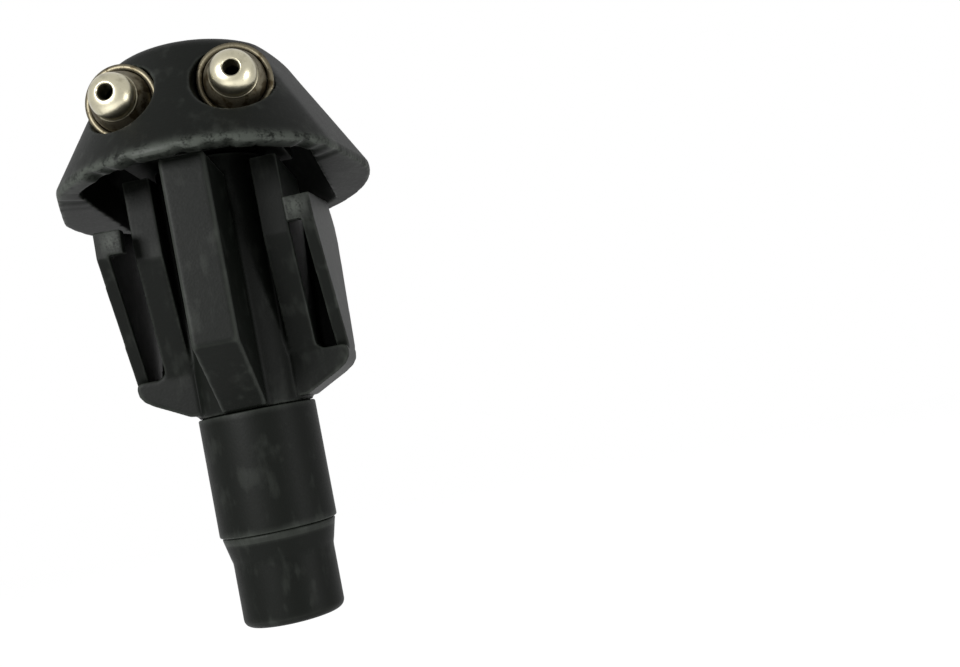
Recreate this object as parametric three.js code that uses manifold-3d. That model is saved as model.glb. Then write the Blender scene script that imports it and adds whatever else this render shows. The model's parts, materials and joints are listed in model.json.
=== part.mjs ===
// Twin-jet washer nozzle: a moulded cap with two ball jets, a ribbed snap-in body and a hose stem.
// Millimetres, +Z up along the stem. The origin is on the stem's axis, level with the front of the
// cap's underside. The cap leans back, so its underside falls towards the rear. The jets face -Y and
// the width runs along X.
import * as THREE from 'three';
import { mergeVertices } from 'three/addons/utils/BufferGeometryUtils.js';
import Module from 'manifold-3d';

const wasm = await Module();
wasm.setup();

// ---- driving dimensions ------------------------------------------------------------------------

// fits
const RUNNING_GAP = 0.08; // radial room between pieces that turn or slide
const PRESS_GAP = 0.05; // room between pieces that are pushed together and stay
const HINGE_GAP = 0.15; // room between a snap tongue and the body below its root

// cap
const CAP_RADIUS = 10.4;
const CAP_HEIGHT = 9.25;
const CAP_TILT = 4.9; // degrees that the cap leans back on the stem
const CAP_PIVOT = -6.2; // place along Y where its underside stays at height 0
const CAP_TOP_RADIUS = 5.6; // where the cone would meet the top, before the edge is rounded
const CAP_EDGE_ROUND = 1.7;
const CAP_CROWN = 0.35; // rise of the domed top
const CROWN_KNEE = 0.6; // how far out the domed top bends, as a share of its radius
const CAP_RIM = 0.5; // upright band at the foot of the cone
const CAP_WALL = 1.25;
const CAP_ROOF = 2.1;
const CAP_HOLLOW_HALF_WIDTH = 7.3;
const FACET_FROM = 56; // degrees from the front, where each side facet starts
const FACET_TO = 90;

// ball jets
const BALL_RADIUS = 1.95;
const NOSE_RADIUS = 1.45;
const NOSE_REACH = 2.5; // from the ball's centre to the tip of its nose
const NOSE_ROUNDNESS = 0.8; // share of the nose's length that its round takes up
const ORIFICE_RADIUS = 0.5;
const BALL_BORE_RADIUS = 0.75;
const JET_SPREAD = 3.55; // half the distance between the two jets
const JET_HEIGHT = 5.2;
const MOUTH_RADIUS = 2.55; // round recess that each ball stands in
const JET_SINK = 0.8; // how far the ball's centre lies inside the cone's face
const AIM_RISE = 2; // degrees that both jets are set above level
const AIM_OUT = 7; // degrees that each jet is set outwards
const SEAT_RING_WALL = 0.35;
const SEAT_RING_FRONT = 0.25; // from the ball's centre to the ring's front edge
const SEAT_RING_BACK = 0.75;
const BOSS_WALL = 0.8;
const SEAL_SECTION = 0.26; // radius of the rubber ring's round section
const SEAL_ANGLE = 34; // degrees off the socket's axis where the ring touches the ball
const GALLERY_RADIUS = 0.7;
const MANIFOLD_FLOOR = 1.8; // underside of the block behind the sockets

// body
const CORE_RADIUS = 3.75;
const CORE_TOP = 1.5;
const CORE_BOTTOM = -15;
const HEAD_RADIUS = 2.3; // tube above the core that plugs into the cap
const HEAD_LENGTH = 2.1;
const HEAD_BORE_RADIUS = 1.2;
const HEAD_SEAL_SECTION = 0.22;
const HEAD_GROOVE = 0.5;
const RIB_WIDTH = 2.85;
const RIB_REACH = 8.5;
const RIB_TOP = 0.3; // how far the ribs reach into the cap
const RIB_FOOT = -11; // where the rib's end starts to slope back
const RIB_END_REACH = 4.5;
const RIB_END = -14.4;
const RIB_END_CHAMFER = 0.5;
const WEB_INNER = 3.2;
const WEB_OUTER = 4.95;
const WEB_REACH = 4.2;
const WEB_TOP = 0.6;
const WEB_SHOULDER = -4.5;
const BASE_REACH = 2.2;
const BASE_TOP = -12;
const BASE_BOTTOM = -14.75;
const BASE_CORNER = 0.4; // upright part of a foot's outer edge
const BASE_CORNER_CUT = 0.7;
const BASE_LIP = 0.1; // how far a foot's lowest edge stands out of the core
const SLOT_WALL = 0.8; // wall across the slot behind each tongue
const SLOT_WALL_REACH = 3.2; // how far back it stands at the top
const SLOT_WALL_FOOT = 1; // and at its foot
const SLOT_WALL_GAP = 0.12; // room that it leaves for the bent tongue

// snap tongues
const TONGUE_OUTER = 7;
const TONGUE_WALL = 0.8;
const TONGUE_REACH = 6;
const TONGUE_REAR_REACH = 5.6;
const TONGUE_TOP_FRONT = -2.6; // height of the locking edge, which rises to the rear
const TONGUE_TOP_REAR = -1.36;
const TONGUE_TOP_REACH = 4.2; // where the locking edge ends at the rear
const TONGUE_EAR = -3.1; // height of the rear corner
const TONGUE_LEAN = 1.5; // degrees that the tongue leans inwards
const TONGUE_BEND = 4.5; // degrees that it bends when it snaps through the panel
const TONGUE_SHOULDER = -4.3;
const TONGUE_FOOT_REACH = 1.8;
const STOP_WIDTH = 0.9;
const STOP_DEPTH = 0.8;
const STOP_HEIGHT = 1.5;
const STOP_ROOT = 0.1; // how far it is set into the tongue

// stem
const STEM_RADIUS = 3.85;
const STEM_LENGTH = 7.8;
const NECK_RADIUS = 2.9;
const NECK_LENGTH = 2.9;
const CHAMBER_RADIUS = 2.35;
const CHAMBER_LENGTH = 6.75;
const STEM_BORE_RADIUS = 1.2;
const SPIGOT_RADIUS = 3.3;
const SPIGOT_SHOULDER_RADIUS = 3.7;
const SPIGOT_SHOULDER = 1.55;
const SPIGOT_LENGTH = 4.35;
const SPIGOT_ROUND = 0.5;
const SPIGOT_NECK_LENGTH = 2.6;
const SPIGOT_BORE_RADIUS = 1.9;
const SPIGOT_THROAT_RADIUS = 1.3;

// non-return valve
const SEAT_SEAL_THICKNESS = 0.75;
const SEAT_SEAL_BORE = 1.1;
const POPPET_RADIUS = 1.85;
const POPPET_HEAD = 0.6;
const POPPET_NOSE = 0.5;
const POPPET_STEM_RADIUS = 0.8;
const POPPET_STEM_LENGTH = 1.6;
const SPRING_WIRE = 0.2; // radius of the wire
const SPRING_RADIUS = 1.5;
const SPRING_TURNS = 3;

// strainer
const CAGE_RING_HEIGHT = 0.55;
const CAGE_WALL = 0.45;
const CAGE_LEGS = 3;
const CAGE_LEG_WIDTH = 0.7;
const STRAINER_INSET = 0.45; // from the hose end up to the cage
const SCREEN_WALL = 0.15;

// smoothness
const ROUND_SEGMENTS = 48;
const SMALL_SEGMENTS = 24;
const ARC_STEPS = 4;
const NEARLY_FLAT = 85; // degrees where a round hands over to the flat or the dome beside it
const COIL_STEPS = 16; // steps of the spring's wire in one turn

// ---- places worked out from the dimensions -----------------------------------------------------

const coneSlope = (CAP_RADIUS - CAP_TOP_RADIUS) / (CAP_HEIGHT - CAP_RIM);
const coneRadiusAt = (z) => CAP_RADIUS - coneSlope * (z - CAP_RIM);
const jetReach = coneRadiusAt(JET_HEIGHT) - JET_SINK;
const jetInCapY = -Math.sqrt(jetReach ** 2 - JET_SPREAD ** 2) - CAP_PIVOT;
const tilt = THREE.MathUtils.degToRad(CAP_TILT);
const jetY = CAP_PIVOT + jetInCapY * Math.cos(tilt) + JET_HEIGHT * Math.sin(tilt);
const jetZ = JET_HEIGHT * Math.cos(tilt) - jetInCapY * Math.sin(tilt);
const undersideAt = (y) => (CAP_PIVOT - y) * Math.tan(tilt);
const ringInner = BALL_RADIUS + RUNNING_GAP;
const ringOuter = ringInner + SEAT_RING_WALL;
const pocketRadius = ringOuter + RUNNING_GAP;
const sealTouch = THREE.MathUtils.degToRad(SEAL_ANGLE);
const sealDistance = BALL_RADIUS + SEAL_SECTION + PRESS_GAP;
const sealRadius = sealDistance * Math.sin(sealTouch);
const sealBack = sealDistance * Math.cos(sealTouch);
const sealBoreRadius = sealRadius + SEAL_SECTION + PRESS_GAP;
const pocketFloor = sealBack + SEAL_SECTION + PRESS_GAP;
const hollowRoof = CAP_HEIGHT - CAP_ROOF;
const headTop = CORE_TOP + HEAD_LENGTH;
const crossZ = headTop + PRESS_GAP + GALLERY_RADIUS;
const headSealZ = MANIFOLD_FLOOR + (headTop - MANIFOLD_FLOOR) / 2;
const stemTop = CORE_BOTTOM - PRESS_GAP;
const stemBottom = stemTop - STEM_LENGTH;
const chamberTop = stemBottom + CHAMBER_LENGTH;
const spigotTop = stemBottom - PRESS_GAP;
const spigotNeckTop = spigotTop + SPIGOT_NECK_LENGTH;
const spigotStep = spigotTop - SPIGOT_SHOULDER;
const hoseEnd = spigotStep - SPIGOT_LENGTH;
const seatTop = spigotNeckTop + PRESS_GAP + SEAT_SEAL_THICKNESS;
const poppetBase = seatTop + PRESS_GAP;
const springBase = poppetBase + POPPET_HEAD + PRESS_GAP;
const springTop = chamberTop - PRESS_GAP;
const strainerBase = hoseEnd + STRAINER_INSET;
const strainerTop = spigotStep - PRESS_GAP;

// ---- helpers -----------------------------------------------------------------------------------

const rad = THREE.MathUtils.degToRad;

function toSolid(geometry) {
  const bare = geometry.clone();
  bare.deleteAttribute('normal');
  bare.deleteAttribute('uv');
  const merged = mergeVertices(bare, 1e-5);
  return new wasm.Manifold(new wasm.Mesh({
    numProp: 3,
    vertProperties: Float32Array.from(merged.attributes.position.array),
    triVerts: Uint32Array.from(merged.index.array),
  }));
}

function toGeometry(solid) {
  const mesh = solid.getMesh();
  const geometry = new THREE.BufferGeometry();
  geometry.setAttribute('position', new THREE.BufferAttribute(mesh.vertProperties, 3));
  geometry.setIndex(new THREE.BufferAttribute(mesh.triVerts, 1));
  geometry.computeVertexNormals();
  return geometry;
}

// a turned solid about Z from points of radius and height, in order up the outside
function turned(points, segments = SMALL_SEGMENTS) {
  const profile = points.map(([r, z]) => new THREE.Vector2(r, z));
  const geometry = new THREE.LatheGeometry(profile, segments);
  geometry.rotateX(Math.PI / 2);
  return toSolid(geometry);
}

// points of an arc in the plane of radius and height, angles in degrees from the radius direction
function arc(centreR, centreZ, radius, from, to, steps = ARC_STEPS) {
  return Array.from({ length: steps + 1 }, (_, i) => {
    const angle = rad(from + ((to - from) * i) / steps);
    return [centreR + radius * Math.cos(angle), centreZ + radius * Math.sin(angle)];
  });
}

const rod = (radius, low, high, segments = SMALL_SEGMENTS) =>
  turned([[0, low], [radius, low], [radius, high], [0, high]], segments);

function outline(points) {
  const shape = new THREE.Shape();
  shape.setFromPoints(points.map(([a, b]) => new THREE.Vector2(a, b)));
  return shape;
}

// an outline in Y and Z, extruded along X between two places
function slabAlongX(points, from, to) {
  const geometry = new THREE.ExtrudeGeometry(outline(points), { depth: to - from, bevelEnabled: false });
  geometry.rotateX(Math.PI / 2);
  geometry.rotateZ(Math.PI / 2);
  geometry.translate(from, 0, 0);
  return toSolid(geometry);
}

// an outline in X and Z, extruded along Y between -reach and reach
function slabAlongY(points, reach) {
  const geometry = new THREE.ExtrudeGeometry(outline(points), { depth: 2 * reach, bevelEnabled: false });
  geometry.rotateX(Math.PI / 2);
  geometry.translate(0, reach, 0);
  return toSolid(geometry);
}

function block(sizeX, sizeY, sizeZ, x, y, z) {
  const geometry = new THREE.BoxGeometry(sizeX, sizeY, sizeZ);
  geometry.translate(x, y, z);
  return toSolid(geometry);
}

// places a solid made along +Z onto a jet's socket axis, which points out of the cap's front;
// rise and out are the degrees that the solid is aimed above level and outwards
function ontoSocket(solid, side, rise = 0, out = 0) {
  return solid.rotate([90 - rise, 0, 0]).rotate([0, 0, side * out])
    .translate([side * JET_SPREAD, jetY, jetZ]);
}

const plastic = (colour) => new THREE.MeshStandardMaterial({ color: colour, roughness: 0.6, metalness: 0 });
const rubber = () => new THREE.MeshStandardMaterial({ color: 0x1a1a1c, roughness: 0.9, metalness: 0 });
const brass = () => new THREE.MeshStandardMaterial({ color: 0xb8b08c, roughness: 0.35, metalness: 1 });
const steel = () => new THREE.MeshStandardMaterial({ color: 0xb5b8ba, roughness: 0.3, metalness: 1 });

const part = new THREE.Group();

function add(name, solid, material) {
  const mesh = new THREE.Mesh(toGeometry(solid), material);
  mesh.name = name;
  part.add(mesh);
  return mesh;
}

// ---- cap ---------------------------------------------------------------------------------------

// outside of the cap: an upright rim, a cone, a rounded edge and a low dome; inset makes the hollow
function capForm(inset, top) {
  const lean = Math.atan(coneSlope);
  const foot = coneRadiusAt(0) - inset / Math.cos(lean);
  const rimTop = inset > 0 ? -1 : CAP_RIM;
  const edge = inset > 0 ? CAP_EDGE_ROUND - inset / 2 : CAP_EDGE_ROUND;
  const crown = inset > 0 ? 0 : CAP_CROWN;
  const edgeZ = top - crown - edge;
  const toCone = edge / Math.cos(lean);
  const edgeR = foot - coneSlope * edgeZ - toCone;
  const leanDegrees = THREE.MathUtils.radToDeg(lean);
  return turned([
    [0, Math.min(rimTop, 0)],
    [foot - coneSlope * rimTop, Math.min(rimTop, 0)],
    [foot - coneSlope * rimTop, rimTop],
    ...arc(edgeR, edgeZ, edge, leanDegrees, NEARLY_FLAT),
    [edgeR * CROWN_KNEE, top - crown * CROWN_KNEE ** 2],
    [0, top],
  ], ROUND_SEGMENTS);
}

// flat on each side of the cone, between two angles from the front
function facetCut(side) {
  const middle = (FACET_FROM + FACET_TO) / 2;
  const half = (FACET_TO - FACET_FROM) / 2;
  const size = 4 * CAP_RADIUS;
  const box = new THREE.BoxGeometry(size, size, size);
  box.translate(size / 2, 0, 0);
  box.rotateY(-Math.atan(coneSlope));
  box.translate(CAP_RADIUS * Math.cos(rad(half)), 0, CAP_RIM);
  box.rotateZ(rad(-90 + side * middle));
  return toSolid(box);
}

// leans a piece of the cap back on the stem
function tilted(solid) {
  return solid.translate([0, -CAP_PIVOT, 0]).rotate([-CAP_TILT, 0, 0]).translate([0, CAP_PIVOT, 0]);
}

function cap() {
  const outside = tilted(capForm(0, CAP_HEIGHT).subtract(facetCut(1)).subtract(facetCut(-1)));
  const hollow = tilted(capForm(CAP_WALL, hollowRoof))
    .intersect(block(2 * CAP_HOLLOW_HALF_WIDTH, 4 * CAP_RADIUS, 4 * CAP_HEIGHT, 0, 0, 0));
  let solid = outside.subtract(hollow);

  // manifold block under the roof, bored for the body's head tube
  const blockWidth = 2 * (JET_SPREAD + GALLERY_RADIUS + BOSS_WALL);
  const blockBack = HEAD_RADIUS + BOSS_WALL + PRESS_GAP;
  const blockDepth = blockBack - jetY - pocketFloor;
  const blockTop = hollowRoof + CAP_ROOF / 2;
  const manifold = block(blockWidth, blockDepth, blockTop - MANIFOLD_FLOOR,
    0, blockBack - blockDepth / 2, (blockTop + MANIFOLD_FLOOR) / 2);
  solid = solid.add(manifold.intersect(outside));
  for (const side of [-1, 1]) {
    const boss = ontoSocket(rod(MOUTH_RADIUS + BOSS_WALL, -pocketFloor - BOSS_WALL, CAP_RADIUS), side);
    solid = solid.add(boss.intersect(outside));
  }

  // pocket for each jet: a flat floor, a bore for the seal and a ball seat, then the wider mouth
  const seatStart = -THREE.MathUtils.radToDeg(Math.acos(sealBoreRadius / pocketRadius));
  const pocket = turned([
    [0, -pocketFloor],
    [sealBoreRadius, -pocketFloor],
    ...arc(0, 0, pocketRadius, seatStart, 0),
    [pocketRadius, CAP_RADIUS],
    [0, CAP_RADIUS],
  ]);
  const mouth = rod(MOUTH_RADIUS, 0, CAP_RADIUS);
  const gallery = rod(GALLERY_RADIUS, jetY + GALLERY_RADIUS / 2, -pocketFloor + GALLERY_RADIUS);
  for (const side of [-1, 1]) {
    solid = solid.subtract(ontoSocket(pocket, side)).subtract(ontoSocket(gallery, side))
      .subtract(ontoSocket(mouth, side));
  }

  // bore for the head tube, and the cross drilling that joins it to both galleries
  const plenumTop = crossZ + GALLERY_RADIUS;
  const crossReach = JET_SPREAD + GALLERY_RADIUS;
  const cross = rod(GALLERY_RADIUS, -crossReach, crossReach).rotate([0, 90, 0]).translate([0, 0, crossZ]);
  return solid.subtract(rod(HEAD_RADIUS + PRESS_GAP, -1, plenumTop)).subtract(cross);
}

// ---- ball jets ---------------------------------------------------------------------------------

// ball with a domed nose, a fine orifice at its tip and a wider water bore behind
function ballJet(side) {
  const waist = Math.sqrt(BALL_RADIUS ** 2 - NOSE_RADIUS ** 2);
  const waistAngle = THREE.MathUtils.radToDeg(Math.atan2(waist, NOSE_RADIUS));
  const backAngle = -THREE.MathUtils.radToDeg(Math.acos(BALL_BORE_RADIUS / BALL_RADIUS));
  const noseRound = (NOSE_REACH - waist) * NOSE_ROUNDNESS;
  const boreEnd = waist;
  return ontoSocket(turned([
    [BALL_BORE_RADIUS, boreEnd],
    ...arc(0, 0, BALL_RADIUS, backAngle, waistAngle, 2 * ARC_STEPS),
    ...arc(NOSE_RADIUS - noseRound, NOSE_REACH - noseRound, noseRound, 0, NEARLY_FLAT),
    [ORIFICE_RADIUS, NOSE_REACH],
    [ORIFICE_RADIUS, boreEnd],
    [BALL_BORE_RADIUS, boreEnd],
  ]), side, AIM_RISE, AIM_OUT);
}

// ring that the ball turns in, round inside and out
function seatRing(side) {
  const angleOf = (radius, z) => THREE.MathUtils.radToDeg(Math.asin(z / radius));
  const outside = arc(0, 0, ringOuter, angleOf(ringOuter, -SEAT_RING_BACK), angleOf(ringOuter, SEAT_RING_FRONT));
  const inside = arc(0, 0, ringInner, angleOf(ringInner, SEAT_RING_FRONT), angleOf(ringInner, -SEAT_RING_BACK));
  return ontoSocket(turned([...outside, ...inside, outside[0]]), side, 0, AIM_OUT);
}

function jetSeal(side) {
  return ontoSocket(turned(arc(sealRadius, -sealBack, SEAL_SECTION, 0, 360, 2 * ARC_STEPS)), side);
}

// ---- body --------------------------------------------------------------------------------------

const mirrorY = (points) => [...points, ...points.slice().reverse().map(([y, z]) => [-y, z])];

// front and rear rib in one slab, with ends that slope back to the core
function ribs() {
  const top = (y) => [y, undersideAt(y) + RIB_TOP];
  const ends = mirrorY([
    [RIB_REACH, RIB_FOOT],
    [RIB_END_REACH, RIB_END],
    [RIB_END_REACH - RIB_END_CHAMFER, RIB_END - RIB_END_CHAMFER],
  ]);
  const points = [top(RIB_REACH), ...ends, top(-RIB_REACH)];
  return slabAlongX(points, -RIB_WIDTH / 2, RIB_WIDTH / 2);
}

// flat web on each side of the core, deep at the top and narrower at its foot
function web(side) {
  const from = side > 0 ? WEB_INNER : -WEB_OUTER;
  return slabAlongX(mirrorY([
    [WEB_REACH, WEB_TOP],
    [WEB_REACH, WEB_SHOULDER],
    [BASE_REACH, BASE_TOP],
    [BASE_REACH, BASE_TOP - BASE_CORNER - BASE_CORNER_CUT],
  ]), from, from + WEB_OUTER - WEB_INNER);
}

// foot of each side wing, which closes the slot between web and tongue with a round bottom
function wingFoot(side) {
  const slotInner = WEB_OUTER;
  const slotOuter = TONGUE_OUTER - TONGUE_WALL;
  const half = (slotOuter - slotInner) / 2;
  const bottomOfSlot = arc(slotInner + half, BASE_TOP + half, half, 180, 270);
  const points = [
    [WEB_INNER, BASE_TOP + half],
    ...bottomOfSlot,
    [slotOuter - HINGE_GAP, BASE_TOP],
    [slotOuter - HINGE_GAP, BASE_TOP - HINGE_GAP],
    [TONGUE_OUTER, BASE_TOP - HINGE_GAP],
    [TONGUE_OUTER, BASE_TOP - BASE_CORNER],
    [TONGUE_OUTER - BASE_CORNER_CUT, BASE_TOP - BASE_CORNER - BASE_CORNER_CUT],
    [CORE_RADIUS + BASE_LIP, BASE_BOTTOM],
    [WEB_INNER, BASE_BOTTOM],
  ].map(([x, z]) => [side * x, z]);
  return slabAlongY(side > 0 ? points : points.reverse(), BASE_REACH);
}

// sloping wall that closes the slot behind a tongue and leaves room for the tongue to bend
function slotWall(side) {
  const half = SLOT_WALL / 2;
  const slab = slabAlongX([
    [SLOT_WALL_REACH + half, WEB_TOP],
    [SLOT_WALL_REACH - half, WEB_TOP],
    [SLOT_WALL_REACH - half, WEB_SHOULDER],
    [SLOT_WALL_FOOT - half, BASE_TOP],
    [SLOT_WALL_FOOT + half, BASE_TOP],
    [SLOT_WALL_REACH + half, WEB_SHOULDER],
  ], -TONGUE_OUTER, TONGUE_OUTER);
  const inner = TONGUE_OUTER - TONGUE_WALL;
  const lean = Math.tan(rad(TONGUE_LEAN + TONGUE_BEND));
  const reach = (z) => inner - SLOT_WALL_GAP - lean * (z - BASE_TOP);
  const top = TONGUE_TOP_FRONT;
  const points = [
    [WEB_OUTER - SLOT_WALL, BASE_TOP],
    [reach(BASE_TOP), BASE_TOP],
    [reach(top), top],
    [WEB_OUTER - SLOT_WALL, top],
  ].map(([x, z]) => [side * x, z]);
  return slab.intersect(slabAlongY(side > 0 ? points : points.reverse(), TONGUE_REACH));
}

function body() {
  let solid = rod(CORE_RADIUS, CORE_BOTTOM, CORE_TOP, ROUND_SEGMENTS);
  solid = solid.add(rod(HEAD_RADIUS, CORE_TOP - 1, headTop)).add(ribs());
  for (const side of [-1, 1]) {
    solid = solid.add(web(side)).add(wingFoot(side)).add(slotWall(side));
  }
  const groove = turned([
    [HEAD_RADIUS - HEAD_GROOVE, headSealZ - HEAD_GROOVE / 2],
    [HEAD_RADIUS + 1, headSealZ - HEAD_GROOVE / 2],
    [HEAD_RADIUS + 1, headSealZ + HEAD_GROOVE / 2],
    [HEAD_RADIUS - HEAD_GROOVE, headSealZ + HEAD_GROOVE / 2],
    [HEAD_RADIUS - HEAD_GROOVE, headSealZ - HEAD_GROOVE / 2],
  ]);
  return solid
    .subtract(groove)
    .subtract(rod(HEAD_BORE_RADIUS, CORE_BOTTOM - 1, headTop + 1))
    .subtract(rod(NECK_RADIUS + PRESS_GAP, CORE_BOTTOM - 1, stemTop + NECK_LENGTH + PRESS_GAP));
}

function headSeal() {
  const middle = HEAD_RADIUS - HEAD_SEAL_SECTION;
  return turned(arc(middle, headSealZ, HEAD_SEAL_SECTION, 0, 360, 2 * ARC_STEPS));
}

// ---- snap tongues ------------------------------------------------------------------------------

// turns a solid inwards about a tongue's root by some degrees
function leaned(solid, side, degrees) {
  const rootX = side * (TONGUE_OUTER - TONGUE_WALL / 2);
  return solid.translate([-rootX, 0, -BASE_TOP]).rotate([0, -side * degrees, 0]).translate([rootX, 0, BASE_TOP]);
}

// flat spring wing, wide under the cap and narrow at its root, with a stop at its front top corner
function tongue(side) {
  const inner = TONGUE_OUTER - TONGUE_WALL;
  const from = side > 0 ? inner : -TONGUE_OUTER;
  const plate = slabAlongX([
    [TONGUE_TOP_REACH, TONGUE_TOP_REAR],
    [TONGUE_REAR_REACH, TONGUE_EAR],
    [TONGUE_REAR_REACH, TONGUE_SHOULDER],
    [TONGUE_FOOT_REACH, BASE_TOP],
    [-TONGUE_FOOT_REACH, BASE_TOP],
    [-TONGUE_REACH, TONGUE_SHOULDER],
    [-TONGUE_REACH, TONGUE_TOP_FRONT],
  ], from, from + TONGUE_WALL);
  const stop = block(STOP_WIDTH + 2 * STOP_ROOT, STOP_DEPTH, STOP_HEIGHT,
    side * (inner - STOP_WIDTH / 2 + STOP_ROOT), -TONGUE_REACH + STOP_DEPTH / 2, TONGUE_TOP_FRONT - STOP_HEIGHT / 2);
  return leaned(plate.add(stop), side, TONGUE_LEAN);
}

// ---- stem --------------------------------------------------------------------------------------

// housing of the non-return valve, with a neck that is pushed up into the core
function valveHousing() {
  const outside = turned([
    [0, stemBottom],
    [STEM_RADIUS, stemBottom],
    [STEM_RADIUS, stemTop],
    [NECK_RADIUS, stemTop],
    [NECK_RADIUS, stemTop + NECK_LENGTH],
    [0, stemTop + NECK_LENGTH],
  ], ROUND_SEGMENTS);
  return outside
    .subtract(rod(CHAMBER_RADIUS, stemBottom - 1, chamberTop))
    .subtract(rod(STEM_BORE_RADIUS, chamberTop - 1, stemTop + NECK_LENGTH + 1));
}

// hose spigot: a neck inside the housing, a tapered shoulder and a plain end with a rounded rim
function hoseSpigot() {
  const neck = CHAMBER_RADIUS - PRESS_GAP;
  return turned([
    [SPIGOT_BORE_RADIUS, hoseEnd],
    ...arc(SPIGOT_RADIUS - SPIGOT_ROUND, hoseEnd + SPIGOT_ROUND, SPIGOT_ROUND, -90, 0),
    [SPIGOT_RADIUS, spigotStep],
    [SPIGOT_SHOULDER_RADIUS, spigotTop],
    [neck, spigotTop],
    [neck, spigotNeckTop],
    [SPIGOT_THROAT_RADIUS, spigotNeckTop],
    [SPIGOT_THROAT_RADIUS, spigotStep],
    [SPIGOT_BORE_RADIUS, spigotStep],
    [SPIGOT_BORE_RADIUS, hoseEnd],
  ], ROUND_SEGMENTS);
}

// ---- non-return valve --------------------------------------------------------------------------

function valveSeatSeal() {
  const outer = CHAMBER_RADIUS - PRESS_GAP;
  const low = seatTop - SEAT_SEAL_THICKNESS;
  return turned([[SEAT_SEAL_BORE, low], [outer, low], [outer, seatTop], [SEAT_SEAL_BORE, seatTop],
    [SEAT_SEAL_BORE, low]]);
}

// mushroom poppet: a nose that drops into the seat, a flat head and a stem inside the spring
function valvePoppet() {
  const noseRadius = SEAT_SEAL_BORE - RUNNING_GAP;
  return turned([
    [0, poppetBase - POPPET_NOSE],
    [noseRadius / 2, poppetBase - POPPET_NOSE],
    [noseRadius, poppetBase],
    [POPPET_RADIUS, poppetBase],
    [POPPET_RADIUS, poppetBase + POPPET_HEAD],
    [POPPET_STEM_RADIUS, poppetBase + POPPET_HEAD],
    [POPPET_STEM_RADIUS, poppetBase + POPPET_HEAD + POPPET_STEM_LENGTH],
    [0, poppetBase + POPPET_HEAD + POPPET_STEM_LENGTH],
  ]);
}

class Helix extends THREE.Curve {
  getPoint(t, target = new THREE.Vector3()) {
    const angle = 2 * Math.PI * SPRING_TURNS * t;
    const low = springBase + SPRING_WIRE;
    const high = springTop - SPRING_WIRE;
    return target.set(SPRING_RADIUS * Math.cos(angle), SPRING_RADIUS * Math.sin(angle), low + (high - low) * t);
  }
}

function valveSpring() {
  const section = new THREE.Shape();
  section.absarc(0, 0, SPRING_WIRE, 0, 2 * Math.PI, false);
  const steps = SPRING_TURNS * COIL_STEPS;
  return toSolid(new THREE.ExtrudeGeometry(section, { steps, extrudePath: new Helix(), curveSegments: 4 }));
}

// ---- strainer ----------------------------------------------------------------------------------

// cage of two rings and three legs that holds the screen in the hose end
function strainerCage() {
  const outer = SPIGOT_BORE_RADIUS - PRESS_GAP;
  const inner = outer - CAGE_WALL;
  const ring = (low) => turned([[inner, low], [outer, low], [outer, low + CAGE_RING_HEIGHT],
    [inner, low + CAGE_RING_HEIGHT], [inner, low]]);
  const tube = turned([[inner, strainerBase], [outer, strainerBase], [outer, strainerTop],
    [inner, strainerTop], [inner, strainerBase]]);
  let solid = ring(strainerBase).add(ring(strainerTop - CAGE_RING_HEIGHT));
  for (let leg = 0; leg < CAGE_LEGS; leg += 1) {
    const bar = block(2 * outer, CAGE_LEG_WIDTH, strainerTop - strainerBase,
      outer, 0, (strainerTop + strainerBase) / 2).rotate([0, 0, (360 * leg) / CAGE_LEGS]);
    solid = solid.add(tube.intersect(bar));
  }
  return solid;
}

// fine screen as a thin closed cup, open towards the hose
function strainerScreen() {
  const outer = SPIGOT_BORE_RADIUS - CAGE_WALL - 2 * PRESS_GAP;
  const low = strainerBase + PRESS_GAP;
  const high = strainerTop - PRESS_GAP;
  return turned([[outer - SCREEN_WALL, low], [outer, low], [outer, high], [0, high],
    [0, high - SCREEN_WALL], [outer - SCREEN_WALL, high - SCREEN_WALL], [outer - SCREEN_WALL, low]]);
}

// ---- assembly ----------------------------------------------------------------------------------

const BLACK = 0x2c2e2c;
add('cap', cap(), plastic(BLACK));
add('body', body(), plastic(BLACK));
add('valve_housing', valveHousing(), plastic(BLACK));
add('hose_spigot', hoseSpigot(), plastic(BLACK));
add('manifold_seal', headSeal(), rubber());
add('valve_seat_seal', valveSeatSeal(), rubber());
add('valve_poppet', valvePoppet(), plastic(0xd9d7cf));
add('valve_spring', valveSpring(), steel());
add('strainer_cage', strainerCage(), plastic(0xd9d7cf));
add('strainer_screen', strainerScreen(), steel());
for (const [name, side] of [['left', -1], ['right', 1]]) {
  add(`${name}_ball_jet`, ballJet(side), brass());
  add(`${name}_seat_ring`, seatRing(side), brass());
  add(`${name}_jet_seal`, jetSeal(side), rubber());
  add(`${name}_snap_tongue`, tongue(side), plastic(BLACK));
}

export default part;
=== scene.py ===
"""Surfaces and finishes of a snap-in washer nozzle with two ball jets, around its packed frame.

Shapes are worked out in millimetres and go into their meshes in metres. +Z runs up the stem and the
jets face -Y. Each moulded piece is drawn as closed surfaces, then joined, cut and given the small
edge radius of a moulding; each turned piece is one profile carried round its axis.
"""
import json
import math

import bmesh
import bpy
import numpy as np
from bpy.props import FloatProperty, FloatVectorProperty, IntProperty, PointerProperty
from mathutils import Matrix, Vector


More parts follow.
